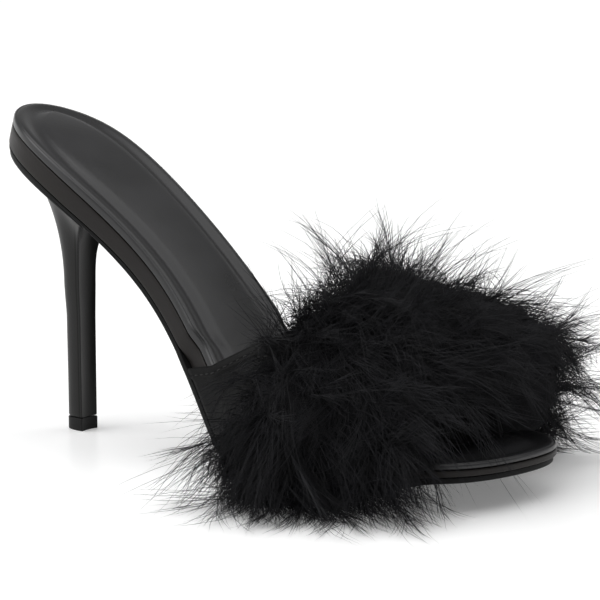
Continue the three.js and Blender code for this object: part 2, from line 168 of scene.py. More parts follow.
# The last, with the CAD part's curves. Rear and toe rows are a share of the length and of the
# seat's height or the toe spring. Outline rows are a share of the length, the width that they
# follow, and the outer and inner side as shares of that width
last = {
    "length": 208.6, "seatHeight": 100.5, "toeSpring": 9.8, "seat": 46.2, "waist": 42, "ball": 74,
    "toeTip": 8.7, "seatBack": 6, "tread": 0.73, "flat": (0.69, 0.77), "gap": 0.3, "softGap": 0.5,
    "crownReach": 12, "toeInset": 1, "toeInsetAt": 0.93,
    "rear": [(0, 1), (0.1, 0.931), (0.2, 0.814), (0.3, 0.656), (0.4, 0.463), (0.5, 0.24),
             (0.57, 0.112), (0.63, 0.038), (0.69, 0)],
    "toe": [(0.77, 0), (0.83, 0.36), (0.9, 0.86), (0.96, 0.985), (1, 1)],
    "outline": [(0.04, "seat", 0.25, 0.375), (0.12, "seat", 0.5, 0.462), (0.22, "seat", 0.533, 0.467),
                (0.36, "waist", 0.498, 0.502), (0.5, "ball", 0.389, 0.305), (0.62, "ball", 0.543, 0.394),
                (0.74, "ball", 0.496, 0.496), (0.86, "ball", 0.39, 0.503), (0.95, "ball", 0.303, 0.381)],
}
length = last["length"]
rearLine = spline([s for s, _ in last["rear"]], [k * last["seatHeight"] for _, k in last["rear"]], None, 0)
toeLine = spline([s for s, _ in last["toe"]], [k * last["toeSpring"] for _, k in last["toe"]], 0, None)


# Height of the tread line over the floor: the rear curve, the flat tread, the toe curve
def treadHeight(s):
    return np.where(s < last["flat"][0], rearLine(s), np.where(s > last["flat"][1], toeLine(s), 0))


# Direction square to the tread line, up into the shoe
def squareUp(s):
    slope = (treadHeight(s + 1e-4) - treadHeight(s - 1e-4)) / (2e-4 * length)
    run = np.hypot(slope, 1)
    return -slope / run, 1 / run


# Angle round the sole at a share of its length: the share is half of one less the angle's cosine
def angleOf(share):
    return np.arccos(1 - 2 * share)


# Closed outline over that angle, outer side to the toe and inner side back; knots repeated past
# both ends let the spline run on smoothly
def outlineSpline():
    rows = [(angleOf(s), -outer * last[of], inner * last[of]) for s, of, outer, inner in last["outline"]]
    knots = [(0, last["seatBack"])] + [(t, y) for t, y, _ in rows] + [(np.pi, last["toeTip"])]
    knots += [(2 * np.pi - t, y) for t, _, y in reversed(rows)]
    before = [(t - 2 * np.pi, y) for t, y in knots[-4:]]
    after = [(t + 2 * np.pi, y) for t, y in knots[:4]]
    ts, ys = zip(*(before + knots + after))
    return spline(ts, ys)


outlineY = outlineSpline()


# A point of the sole's side: inset square to the outline, height square to the tread line
def edgePoint(t, side, inset, height):
    turn = np.where(side < 0, t, 2 * np.pi - t)
    dx = length / 2 * np.sin(turn)
    dy = (outlineY(turn + 1e-4) - outlineY(turn - 1e-4)) / 2e-4
    run = np.hypot(dx, dy)
    share = (1 - np.cos(turn)) / 2 - inset * dy / run / length
    upX, upZ = squareUp(share)
    x = (share - last["tread"]) * length + upX * height
    y = outlineY(turn) + inset * dx / run
    return np.stack(np.broadcast_arrays(x, y, treadHeight(share) + upZ * height), -1)


# Heights of the sole's layers over the tread line, behind and in front, and where they change
layers = {"stack": (11, 6), "outsole": (1.1, 1.8), "sock": (2.7, 1.6), "stackFall": (0.5, 0.75),
          "outsoleRise": (0.2, 0.34)}


# The tread line itself, as a height
def treadLine(s):
    return 0 * s


def stackTop(s):
    return mix(*layers["stack"], ease(*layers["stackFall"], s))


def outsoleTop(s):
    return mix(*layers["outsole"], ease(*layers["outsoleRise"], s))


def boardTop(s):
    return stackTop(s) - mix(*layers["sock"], ease(*layers["stackFall"], s)) - last["gap"]


# Vamp: topline, front, leans and crowns are shares of the length, wrap is how far its foot tapers
# past them, and sizes are in millimetres. Fold rows are the distance from the topline and the
# height over the skin: the rolled edge, the stitch line's dip, the fold's end
vamp = {
    "wall": 1.4, "topline": 0.468, "front": 0.86, "toplineLean": 0.42, "frontLean": -0.2,
    "rise": 0.5, "instep": 49.5, "toeBox": 32, "toplineCrown": 0.655, "frontCrown": 0.83,
    "ridge": 2.5, "wallPart": 0.12, "square": 0.8, "wrap": (0.032, 0.01),
    "fold": [(0, 0.1), (0.25, 0.32), (0.7, 0.45), (1.4, 0.45), (2.1, 0.45), (2.4, 0.4), (2.6, 0.2),
             (2.8, 0.4), (3.1, 0.45), (3.6, 0.42), (4.0, 0.25), (4.3, 0.05), (4.8, 0)],
    "rows": 44, "wallColumns": 9, "topColumns": 91,
    "creaseWidth": 26, "creaseHeight": 0.072, "creaseSeed": 5, "creaseFrom": 0.2,
    "rollAngles": [30, 65, 90, 115, 150], "rollDepth": 0.8,
}


# 1 where the vamp's foot runs beside the board, easing to 0 at both its ends
def underVamp(s):
    start, end = vamp["wrap"]
    return (ease(vamp["topline"] - start, vamp["topline"] - end, s)
            * (1 - ease(vamp["front"] + end, vamp["front"] + start, s)))


# The board steps in by the vamp's wall and its gap
def boardInset(s):
    return underVamp(s) * (vamp["wall"] + last["softGap"])


# The outsole keeps a gap to the edge, is flush under the vamp and sits back at the toe
def outsoleInset(s):
    toe = ease(vamp["front"], last["toeInsetAt"], s)
    return last["gap"] * (1 - underVamp(s)) + (last["toeInset"] - last["gap"]) * toe


# A layer of the sole: stations from seat to toe, each a closed section over both sides.
# Rings run from below, up the side and in over the top; the middle is filled straight across,
# with a rise that grows with the width left between the innermost rings
def soleSurface(rings, across, under, rise=0, stations=200):
    t = np.linspace(0, np.pi, stations)
    s = (1 - np.cos(t)) / 2
    upX, upZ = squareUp(s)
    up = np.stack([upX, 0 * upX, upZ], -1)

    def ring(side, k):
        inset, height = rings[k]
        return edgePoint(t, side, inset(s), height(s))

    outer = [ring(-1, k) for k in range(len(rings))]
    inner = [ring(1, k) for k in range(len(rings))]
    half = np.linalg.norm(inner[-1] - outer[-1], axis=-1) / 2
    swell = rise * half ** 2 / (half ** 2 + last["crownReach"] ** 2)
    top = []
    for v in np.arange(1, across) / across:
        top.append(mix(outer[-1], inner[-1], v) + up * (swell * (1 - (2 * v - 1) ** 2))[:, None])
    bottom = [mix(inner[0], outer[0], v) for v in np.arange(1, under) / under]
    points = np.stack(outer + top + inner[::-1] + bottom, 1)
    return points.reshape(-1, 3), gridFaces(stations, points.shape[1], wrap=True)


# A line of heights or insets along the sole, moved by a fixed amount
def moved(base, by):
    return lambda s: base(s) + by


# A line between two others
def between(low, high, k):
    return lambda s: mix(low(s), high(s), k)


# Rings from rows of inset and height, each measured from its own line
def ringRows(rows, inset, height):
    return [(moved(inset, i), moved(height, h)) for i, h in rows]


# Outsole: thin, with a rounded lower edge. Low rows are measured from the tread line, high rows
# from the outsole's top
outsole = {"low": [(0.7, 0), (0.25, 0.06), (0.05, 0.25), (0, 0.5)],
           "high": [(0, -0.2), (0.06, -0.06), (0.2, 0)]}


def makeOutsole():
    rings = ringRows(outsole["low"], outsoleInset, treadLine)
    rings += ringRows(outsole["high"], outsoleInset, outsoleTop)
    return makePiece("outsole_dressed", *soleSurface(rings, 2, 10), "outsole", ["outsole"])


# Wrap of the insole board: a flat band with rounded edges and a shallow groove below its top
wrap = {"low": [(0.8, 0), (0.22, 0.08), (0.04, 0.3), (0, 0.55)], "between": (0.35, 0.7),
        "high": [(0, -0.55), (0.08, -0.3), (0.28, -0.1), (0.9, 0)]}


def makeWrap():
    bottom = moved(outsoleTop, last["gap"])
    rings = ringRows(wrap["low"], boardInset, bottom)
    rings += [(boardInset, between(bottom, boardTop, k)) for k in wrap["between"]]
    rings += ringRows(wrap["high"], boardInset, boardTop)
    return makePiece("board_wrap", *soleSurface(rings, 2, 2), "insole_board", ["insole_board"])


# Sock lining: inset and height over the board's top or under the stack's top, from the side
# seam, over the rolled rim and its fine seam, down a soft trough and up on to the pad
sock = {
    "side": [(0.5, 0.0), (0.14, 0.08), (0.02, 0.25), (0.0, 0.5)],
    "rim": [(0.0, -0.85), (0.1, -0.42), (0.34, -0.14), (0.62, -0.05), (0.76, -0.26), (0.88, -0.28),
            (1.0, -0.03), (1.25, 0.06), (2.1, 0.12), (3.0, 0.02), (3.9, -0.22), (5.2, -0.6),
            (6.2, -0.72), (7.2, -0.6), (8.4, -0.1), (9.8, 0.3)],
    "crown": 0.7, "across": 14, "stations": 260,
}


def makeSock():
    rings = ringRows(sock["side"], boardInset, moved(boardTop, last["gap"]))
    rings += ringRows(sock["rim"], boardInset, stackTop)
    surface = soleSurface(rings, sock["across"], 2, sock["crown"], sock["stations"])
    return makePiece("sock_dressed", *surface, "sock_lining", ["sock_lining"])


# Heel: sections run round the back from the outer breast corner to the inner one, then back
# along the breast. The corners are eased, and a fine seam runs beside each. Stem rows are the
# height over the floor and how much wider the section is than at the foot
heel = {
    "width": 7.7, "depth": 8.5, "breast": 33.2, "stemTop": 50, "seat": 53, "inset": 0.9,
    "cup": 1.8, "hollow": 0.7, "sweep": 6, "rim": 1.1, "lip": 0.8, "swell": 1.12, "square": 0.8,
    "backWay": (0.55, 0.2, 0.42), "sideWay": (0.9, 0.02, 0.85), "flare": 30,
    "stem": [(47, 1.094), (44, 1.066), (40, 1.03), (30, 1.02), (20, 1.01), (10, 1.004), (5.2, 1),
             (4.85, 0.976), (4.7, 0.93)],
    "cornerLift": 0.75, "cornerPower": 6, "seamDepth": 0.16, "corner": 0.16, "cornerSide": 0.056,
    "softTop": 0.6, "softRim": 0.55,
}
# Places over the back and the breast, from -1 outer to 1 inner, closer at the corners
backShares = np.concatenate([[-1, -0.988, -0.97, -0.955, -0.94, -0.925],
                             np.linspace(-0.9, 0.9, 55), [0.925, 0.94, 0.955, 0.97, 0.988, 1]])
breastShares = np.concatenate([[0.985, 0.96, 0.93], np.linspace(0.88, -0.88, 17), [-0.93, -0.96, -0.985]])


# Level section of the stem: a squared half round behind, a shallow hollow across the breast
def stemSection(z, grow):
    width, depth = heel["width"] * grow, heel["depth"] * grow
    front = heel["breast"] - last["tread"] * length
    angle = backShares * np.pi / 2
    x = front - depth * np.abs(np.cos(angle)) ** heel["square"]
    y = np.sign(backShares) * np.abs(np.sin(angle)) ** heel["square"] * width / 2
    bx = front - heel["hollow"] * (1 - breastShares ** 2)
    x, y = np.concatenate([x, bx]), np.concatenate([y, breastShares * width / 2])
    return np.stack([x, y, z + 0 * x], -1)


# Section of the cup: it follows the seat's edge behind and sweeps back across the breast, and its
# drop under the seat fades towards the breast corners
def cupSection(inset, drop):
    reach = angleOf(heel["seat"] / length)

    def under(shares):
        return -last["gap"] - drop * (1 - heel["cornerLift"] * np.abs(shares) ** heel["cornerPower"])

    side = np.where(backShares < 0, -1, 1)
    back = edgePoint(np.abs(backShares) * reach, side, inset, under(backShares))
    x = back[0, 0] - heel["sweep"] * (1 - breastShares ** 2)
    share = x / length + last["tread"]
    y = mix(back[0, 1], back[-1, 1], (breastShares + 1) / 2)
    z = treadHeight(share) + squareUp(share)[1] * under(breastShares)
    return np.concatenate([back, np.stack([x, y, z], -1)])


# Pulls the breast corners in a little and cuts the seam, towards each section's middle
def easeCorners(section):
    inward = unit(section.mean(0) - section)
    inward[:, 2] = 0
    near = np.zeros(len(section))
    count = len(backShares)
    near[[0, count - 1]] = heel["corner"]
    near[[1, count - 2, count, len(section) - 1]] = heel["cornerSide"]
    near[[3, count - 4]] = heel["seamDepth"]
    return section + inward * near[:, None]


# Skin over a stack of sections, with a fan of flat quads to the middle at each end
def closeSections(sections):
    columns = len(sections[0])
    points = np.concatenate(sections)
    caps = np.stack([sections[0].mean(0), sections[-1].mean(0)])
    near = np.arange(columns)
    low = np.full(columns, len(points))
    first = np.stack([near, np.roll(near, -1), low, low], -1)
    far = near + (len(sections) - 1) * columns
    second = np.stack([np.roll(far, -1), far, low + 1, low + 1], -1)
    sides = gridFaces(len(sections), columns, wrap=True)
    return np.concatenate([points, caps]), np.concatenate([sides, first, second])


# From the cup's crease each point runs down a cubic curve to the stem: it leaves steeply at the
# sides and sweeps in behind, and meets the stem upright
def makeHeel():
    top = cupSection(heel["inset"], 0)
    rim = cupSection(heel["inset"], heel["rim"])
    crease = cupSection(heel["inset"] + heel["lip"], heel["cup"])
    neck = stemSection(heel["stemTop"], heel["swell"])
    fall = (crease - neck)[:, 2:]
    turn = np.concatenate([backShares ** 2, 1 + 0 * breastShares])[:, None]
    inward, leave, arrive = [mix(a, b, turn) for a, b in zip(heel["backWay"], heel["sideWay"])]
    first = mix(crease, neck, inward)
    first[:, 2:] = crease[:, 2:] - leave * fall
    second = neck.copy()
    second[:, 2:] += arrive * fall
    sections = [mix(top, rim, heel["softTop"]), rim, mix(rim, crease, heel["softRim"]), crease]
    for u in np.linspace(0, 1, heel["flare"] + 1)[1:]:
        sections.append((1 - u) ** 3 * crease + 3 * (1 - u) ** 2 * u * first
                        + 3 * (1 - u) * u ** 2 * second + u ** 3 * neck)
    sections += [stemSection(z, grow) for z, grow in heel["stem"]]
    skin = closeSections([top] + [easeCorners(s) for s in sections])
    return makePiece("heel_cover", *skin, "heel_cover", ["heel"])


# Top piece: heights over the floor and how much wider its sections are than the stem
tip = {"levels": [(4.4, 0.94), (4.3, 1.0), (4.1, 1.02), (3.0, 1.02), (1.5, 1.02), (0.35, 1.02),
                  (0.1, 1.0), (0, 0.96)]}


def makeTip():
    skin = closeSections([stemSection(z, grow) for z, grow in tip["levels"]])
    return makePiece("top_piece", *skin, "heel_tip", ["heel_tip"])


# Vamp: b runs from the topline to the front edge, a over the foot from outer to inner side.
# Its wall stands on the outline and leans with its height
def wallPoint(b, side, rise):
    share = mix(vamp["topline"], vamp["front"], b)
    low = outsoleTop(share) + last["softGap"]
    height = mix(low, stackTop(share) + vamp["rise"], rise)
    lean = mix(vamp["toplineLean"], vamp["frontLean"], b) * (height - low) / length
    return edgePoint(angleOf(share + lean), side, 0, height)


# Between the walls it goes over the foot on a squared half round through the crown
def vampOuter(a, b):
    part = vamp["wallPart"]
    angle = np.pi * np.clip((a - part) / (1 - 2 * part), 0, 1)
    outer = wallPoint(b, -1, np.clip(a / part, 0, 1))
    inner = wallPoint(b, 1, np.clip((1 - a) / part, 0, 1))
    middle = (outer + inner) / 2
    crownShare = mix(vamp["toplineCrown"], vamp["frontCrown"], b)
    crownZ = mix(vamp["instep"], vamp["toeBox"], b) + vamp["ridge"] * 4 * b * (1 - b)
    crown = np.stack(np.broadcast_arrays((crownShare - last["tread"]) * length, 0 * a, crownZ), -1)
    spread = np.abs(np.cos(angle)) ** vamp["square"]
    rise = np.abs(np.sin(angle)) ** vamp["square"]
    foot = np.where((angle < np.pi / 2)[..., None], outer, inner)
    return middle + (foot - middle) * spread[..., None] + (crown - middle) * rise[..., None]


# Directions out of the vamp's surface and along it to the toe, from small steps in a and b
def vampFrame(a, b):
    d = 0.004
    across = vampOuter(np.minimum(a + d, 1), b) - vampOuter(np.maximum(a - d, 0), b)
    along = unit(vampOuter(a, np.minimum(b + d, 1)) - vampOuter(a, np.maximum(b - d, 0)))
    return unit(np.cross(along, across)), along


def vampColumns():
    part, wall = vamp["wallPart"], vamp["wallColumns"]
    return np.concatenate([np.linspace(0, part, wall)[:-1], np.linspace(part, 1 - part, vamp["topColumns"]),
                           np.linspace(1 - part, 1, wall)[1:]])


# Share of b that one millimetre from the topline takes, measured over a short reach
def topStep(a):
    reach = 0.04
    return reach / np.linalg.norm(vampOuter(a, reach + 0 * a) - vampOuter(a, 0 * a), axis=-1)


# Outer skin with its fold and slow creases, rolled over both edges into a lining one wall inside
def makeVamp():
    a = vampColumns()
    step = topStep(a)
    near, lift = np.array(vamp["fold"]).T
    rest = np.linspace(0, 1, vamp["rows"] + 1)[1:]
    start = near[-1] * step
    b = np.concatenate([near[:, None] * step, start + (1 - start) * rest[:, None]])
    lift = np.concatenate([lift, 0 * rest])
    a = np.broadcast_to(a, b.shape)
    out, along = vampFrame(a, b)
    skin = vampOuter(a, b)
    crease = waves(skin, vamp["creaseWidth"], vamp["creaseSeed"]) * ease(0, vamp["creaseFrom"], b)
    outer = skin + out * (lift[:, None] + vamp["creaseHeight"] * crease)[..., None]
    lining = skin - out * vamp["wall"]

    def roll(row, way, top):
        rows = []
        for turn in np.radians(vamp["rollAngles"]):
            level = mix(top, -vamp["wall"], (1 - np.cos(turn)) / 2)
            depth = way * vamp["wall"] / 2 * vamp["rollDepth"] * np.sin(turn)
            rows.append(skin[row] + out[row] * level + along[row] * depth)
        return rows

    ring = list(outer) + roll(-1, 1, 0) + list(lining[::-1]) + roll(0, -1, lift[0])[::-1]
    grid = np.stack(ring)
    columns = grid.shape[1]
    faces = gridFaces(len(grid) + 1, columns) % (len(grid) * columns)
    count, tail = len(outer), len(outer) + len(vamp["rollAngles"])
    ends = []
    for column in (0, columns - 1):
        up = np.arange(count - 1) * columns + column
        down = (tail + count - 1 - np.arange(count - 1)) * columns + column
        ends.append(np.stack([up, up + columns, down - columns, down], -1))
    faces = np.concatenate([faces] + ends)
    return makePiece("vamp_dressed", grid.reshape(-1, 3), faces, "vamp", ["vamp"])


# Stitches along the folded topline: distance in, pitch, and the span of it that a thread takes.
# Thread rows are its height over the line and its radius, from end to end
stitch = {"in": 2.6, "pitch": 2.6, "first": 0.5, "line": 0.2, "span": (0.08, 0.82), "sides": 6,
          "over": (0.015, 0.985), "samples": 1200,
          "thread": [(-0.3, 0.06), (0.1, 0.17), (0.24, 0.2), (0.28, 0.21), (0.24, 0.2), (0.1, 0.17),
                     (-0.3, 0.06)]}


# Each thread is a tube of seven rings of six points that dips into the leather at both ends, and
# two quads close each end
def makeStitches():
    fine = np.linspace(*stitch["over"], stitch["samples"])
    path = vampOuter(fine, stitch["in"] * topStep(fine))
    run = np.concatenate([[0], np.cumsum(np.linalg.norm(np.diff(path, axis=0), axis=-1))])
    starts = np.arange(stitch["first"], run[-1] - stitch["pitch"], stitch["pitch"])
    lift, radius = np.array(stitch["thread"]).T
    reach = np.linspace(*stitch["span"], len(lift)) * stitch["pitch"]
    a = np.interp(starts[:, None] + reach, run, fine)
    b = stitch["in"] * topStep(a)
    out, _ = vampFrame(a, b)
    centre = vampOuter(a, b) + out * (stitch["line"] + lift)[:, None]
    tangent = unit(np.gradient(centre, axis=1))
    side = unit(np.cross(tangent, out))
    angle = np.arange(stitch["sides"]) * 2 * np.pi / stitch["sides"]
    around = np.cos(angle)[:, None] * side[:, :, None] + np.sin(angle)[:, None] * out[:, :, None]
    points = centre[:, :, None] + around * radius[:, None, None]
    one = gridFaces(len(lift), stitch["sides"], wrap=True)
    cap = np.array([[0, 1, 2, 3], [0, 3, 4, 5], [39, 38, 37, 36], [41, 40, 39, 36]])
    faces = np.concatenate([one, cap])
    shift = np.arange(len(starts))[:, None, None] * len(lift) * stitch["sides"]
    return makePiece("topline_stitches", points.reshape(-1, 3), (faces + shift).reshape(-1, 4), "vamp")


# Down: the lists are given at the places a over the foot, and read at any other. Reach is a share
# of the length, from is where the down starts behind, rear and front are how far it fans in
# degrees. Beyond is how far strands may leave the CAD box, top and floor how high and low they go
down = {
    "length": 24, "swell": (0.7, 1.25), "edge": 0.03, "frontEdge": 0.97, "floor": 0.5, "settle": 4,
    "beyond": 12, "top": 92, "seed": 23,
    "a": [0, 0.2, 0.5, 0.7, 0.84, 1],
    "reach": [0.42, 0.66, 0.58, 1.22, 1.06, 0.95],
    "droop": [0.1, 0.4, 0.25, 0.25, 0.3, 0.1],
    "from": [0.33, 0.27, 0.1, 0.1, 0.12, 0.25],
    "rear": [0, 8, 25, 20, 20, 15],
    "front": [10, 45, 45, 32, 42, 20],
}
downRead = {key: spline(down["a"], down[key]) for key in ("reach", "droop", "from", "rear", "front")}


def downThickness(a, k):
    return down["length"] * downRead["reach"](a) * mix(*down["swell"], k)


# Root on the vamp, its outward direction, and the way the down grows there: outward, turned
# towards the heel behind (k of 0) and towards the toe in front (k of 1)
def downRoot(a, k):
    b = mix(downRead["from"](a), down["frontEdge"], k)
    out, along = vampFrame(a, b)
    fan = np.radians(mix(-downRead["rear"](a), downRead["front"](a), k))[..., None]
    return vampOuter(a, b), out, out * np.cos(fan) + along * np.sin(fan)


# Keeps points over the floor: low ones ease on to it
def overFloor(points, floor):
    z, settle = points[..., 2] - floor, down["settle"]
    points[..., 2] = floor + np.where(z > settle, z, settle * np.exp(np.minimum(z / settle - 1, 0)))
    return points


# Core: share is its part of the down's thickness, fuller over the inner shoulder and thin at its
# foot, where the rows give from, to and by how much. Rough rows are height, width and seed; it
# thins towards its borders by a share and with a power
core = {
    "share": 0.78, "shoulder": (0.45, 0.65, 0.14), "foot": (0.84, 0.97, -0.22),
    "rough": [(0.05, 14, 11), (0.05, 6, 12), (0.025, 2.6, 13)], "thinEnds": (0.35, 8),
    "thinSides": (0.25, 16),
    "skin": 0.6, "outerFloor": 2.5, "innerFloor": 1.5, "over": 150, "back": 60,
}


def coreShare(a):
    share = core["share"]
    for low, high, more in (core["shoulder"], core["foot"]):
        share = share + more * ease(low, high, a)
    return share


# Loss towards both borders: a share of one, times the distance from the middle to a power
def thinning(v, share, power):
    return share * np.abs(2 * v - 1) ** power


# A closed shell: outside at the core's share of the thickness plus the roughness, less the
# thinning, and inside just off the vamp
def makeCore():
    a, k = np.meshgrid(np.linspace(down["edge"], 1 - down["edge"], core["over"]),
                       np.linspace(0, 1, core["back"]), indexing="ij")
    root, out, way = downRoot(a, k)
    rough = sum(height * waves(root, width, seed) for height, width, seed in core["rough"])
    border = 1 - thinning(k, *core["thinEnds"]) - thinning(a, *core["thinSides"])
    size = downThickness(a, k) * border * (coreShare(a) + rough)
    outer = overFloor(root + way * size[..., None], core["outerFloor"])
    inner = overFloor(root + out * core["skin"], core["innerFloor"])
    grid = np.concatenate([outer, inner[:, ::-1]], 1)
    rows, columns = grid.shape[:2]
    j = np.arange(columns // 2 - 1)
    ends = []
    for base in (0, (rows - 1) * columns):
        ends.append(np.stack([base + j, base + j + 1, base + columns - 2 - j, base + columns - 1 - j], -1))
    faces = np.concatenate([gridFaces(rows, columns, wrap=True)] + ends)
    return makePiece("down_core", grid.reshape(-1, 3), faces, "down", ["marabou"])


# Every strand: how much of its radius goes before the point, how many radians its sway turns
# over its length, and the direction that its sides are taken from
strand = {"taper": 0.7, "turns": (2.0, 5.5), "guide": (0.31, -0.22, 0.92)}


# Strands as closed three-sided tubes that taper with the square of the way along to a point
def strandMesh(path, radius):
    count, rings = path.shape[0], path.shape[1] - 1
    tangent = unit(np.gradient(path, axis=1))
    side = unit(np.cross(tangent, np.array(strand["guide"])))
    up = np.cross(side, tangent)
    u = np.arange(rings) / rings
    thick = radius[:, None] * (1 - strand["taper"] * u ** 2)
    angle = np.arange(3) * 2 * np.pi / 3
    around = np.cos(angle)[:, None] * side[:, :rings, None] + np.sin(angle)[:, None] * up[:, :rings, None]
    tubes = path[:, :rings, None] + around * thick[..., None, None]
    points = np.concatenate([tubes.reshape(count, -1, 3), path[:, -1:]], 1)
    quads = gridFaces(rings, 3, wrap=True)
    top = np.array([[0, 1, 3], [1, 2, 3], [2, 0, 3]]) + (rings - 1) * 3
    one = np.concatenate([quads[:, :3], quads[:, [0, 2, 3]], top, [[2, 1, 0]]])
    faces = one[None] + np.arange(count)[:, None, None] * points.shape[1]
    return points.reshape(-1, 3), faces.reshape(-1, 3)


# A path is root + length x (u way + u squared bend + a sway that starts at nothing), with u from
# 0 to 1, and it eases on to the floor where it comes low
def strandPaths(rng, root, way, size, bend, sway, rings):
    u = np.linspace(0, 1, rings + 1)[:, None]
    side = unit(np.cross(way, rng.normal(size=way.shape)))
    phase = rng.uniform(0, 2 * np.pi, (len(root), 1, 1))
    turns = rng.uniform(*strand["turns"], (len(root), 1, 1))
    wander = (np.sin(turns * u + phase) - np.sin(phase) * (1 - u)) * sway * u
    path = way[:, None] * u + bend[:, None] * u ** 2 + side[:, None] * wander
    path = root[:, None] + path * size[:, None, None]
    return overFloor(path, down["floor"])


def downward(count):
    return np.broadcast_to(np.array([0, 0, -1.0]), (count, 3))


# How the down is combed: towards the toe and round the foot, as mean, swing, width and seed, and
# how much it hangs. Bare is where it thins out over the foot and from back to front, and tries
# is how many roots are drawn for each one kept
comb = {"toToe": (0.5, 0.6, 34, 21), "round": (0, 0.9, 26, 22), "hang": 0.3, "tries": 3,
        "bareOver": (0.18, 0.42), "bareBack": (0.1, 0.5)}


# Roots on the vamp moved out along the way, by depth as a share of the core's thickness
def raisedRoot(rng, a, k, depth):
    root, out, way = downRoot(a, k)
    reach = downThickness(a, k) * coreShare(a) * rng.uniform(*depth, len(a))
    return root + way * reach[:, None], out, way


# Roots spread over the vamp, thinner behind on the outer side, where its leather shows. The way is
# combed: lift is how much of it stands off the core, and the rest lies along it in drifts that
# change slowly; back sweeps it towards the heel
def scatter(rng, count, aRange, depth, lift, kRange=(0, 1), bare=0.5, back=0):
    tries = count * comb["tries"]
    a = rng.uniform(*aRange, tries)
    k = rng.uniform(*kRange, tries)
    hidden = bare * (1 - ease(*comb["bareOver"], a)) * (1 - ease(*comb["bareBack"], k))
    kept = np.flatnonzero(rng.uniform(0, 1, tries) > hidden)[:count]
    a, k = a[kept], k[kept]
    root, out, way = raisedRoot(rng, a, k, depth)
    _, along = vampFrame(a, k)
    drifts = [mean + swing * waves(root, width, seed)[:, None]
              for mean, swing, width, seed in (comb["toToe"], comb["round"])]
    flat = along * drifts[0] + np.cross(along, out) * drifts[1] + downward(count) * comb["hang"]
    return a, root, unit(way * lift + unit(flat) * (1 - lift) - along * back)


# Strands that stay in the space round the shoe that the down reaches
def inReach(path):
    low, high = np.array(cadLow) / mm - down["beyond"], np.array(cadHigh) / mm + down["beyond"]
    high[2] = down["top"]
    return ((path > low) & (path < high)).all((1, 2))


# Single strands: each strays from the way by lean and bends at random, and hang bends it down
def strewn(rng, root, way, look):
    count = len(root)
    way = unit(way + rng.normal(size=way.shape) * look["lean"])
    size = rng.uniform(*look["length"], count)
    bend = rng.normal(size=way.shape) * look["bend"] + downward(count) * look["hang"]
    path = strandPaths(rng, root, way, size, bend, look["sway"], look["rings"])
    return strandMesh(path, rng.uniform(*look["radius"], count))


# Fluff: short curly barbs all over the core
fuzz = {"depth": (0.8, 1.0), "lift": 0.6, "lean": 0.4, "length": (4, 9), "bend": 0.3, "hang": 0.15,
        "sway": 0.16, "radius": (0.07, 0.12), "rings": 3}


def fluff(rng, count, aRange):
    _, root, way = scatter(rng, count, aRange, fuzz["depth"], fuzz["lift"])
    return strewn(rng, root, way, fuzz)


# Hem: short strands that hang from the down's lower border, where the core ends beside the sole
fringe = {"depth": (0.05, 0.95), "outward": 0.45, "lean": 0.4, "length": (4, 10), "bend": 0.35,
          "hang": 0, "sway": 0.14, "radius": (0.08, 0.12), "rings": 4}


def hem(rng, count, aRange):
    a = rng.uniform(*aRange, count)
    k = rng.uniform(0, 1, count)
    root, _, way = raisedRoot(rng, a, k, fringe["depth"])
    return strewn(rng, root, downward(count) + way * fringe["outward"], fringe)


# Locks: strands in clumps that lean and bend together and draw in towards their tips. Apart is
# the spread of a clump's roots in millimetres, and stray how far single strands leave it
lock = {"lean": 0.16, "bend": 0.4, "hang": 0.2, "uneven": (0.6, 1.1), "apart": 1.7, "strayLean": 0.09,
        "strayBend": 0.08, "gather": 0.6, "sway": 0.05, "radius": (0.08, 0.12)}


def locks(rng, clumps, each, aRange, sizes, rings, depth, lift, loose=1.0, kRange=(0, 1), bare=0.5, back=0):
    a, root, way = scatter(rng, clumps, aRange, depth, lift, kRange, bare, back)
    way = unit(way + rng.normal(size=way.shape) * lock["lean"] * loose)
    bend = rng.normal(size=way.shape) * lock["bend"] * loose
    bend = bend + downward(clumps) * (lock["hang"] + downRead["droop"](a))[:, None]
    size = rng.uniform(*sizes, clumps)
    pick = np.repeat(np.arange(clumps), each)
    root, way, bend = root[pick], way[pick], bend[pick]
    many = len(pick)
    size = size[pick] * rng.uniform(*lock["uneven"], many)
    apart = rng.normal(size=(many, 3)) * lock["apart"]
    way = unit(way + rng.normal(size=(many, 3)) * lock["strayLean"] * loose)
    bend = bend + rng.normal(size=(many, 3)) * lock["strayBend"] * loose
    bend = bend - apart * lock["gather"] / size[:, None]
    path = strandPaths(rng, root + apart, way, size, bend, lock["sway"], rings)
    kept = inReach(path)
    return strandMesh(path[kept], rng.uniform(*lock["radius"], many)[kept])


# Plumes: a bent quill with barbs leaving it on both sides, swept towards its tip and shorter there
plume = {"depth": (0.4, 0.9), "lift": 0.72, "lean": 0.25, "bend": 0.4, "hang": 0.2, "sway": 0.06,
         "quillRings": 12, "barbs": 24, "barbSpan": (0.08, 0.9), "barbLean": (0.15, 0.42),
         "barbStray": 0.08, "barbSweep": 0.5, "barbFollow": 0.4, "barbLength": 0.65,
         "barbShorter": 0.5, "barbUneven": (0.7, 1.2), "barbRings": 4,
         "barbRadius": (0.06, 0.09), "quillRadius": (0.1, 0.13)}


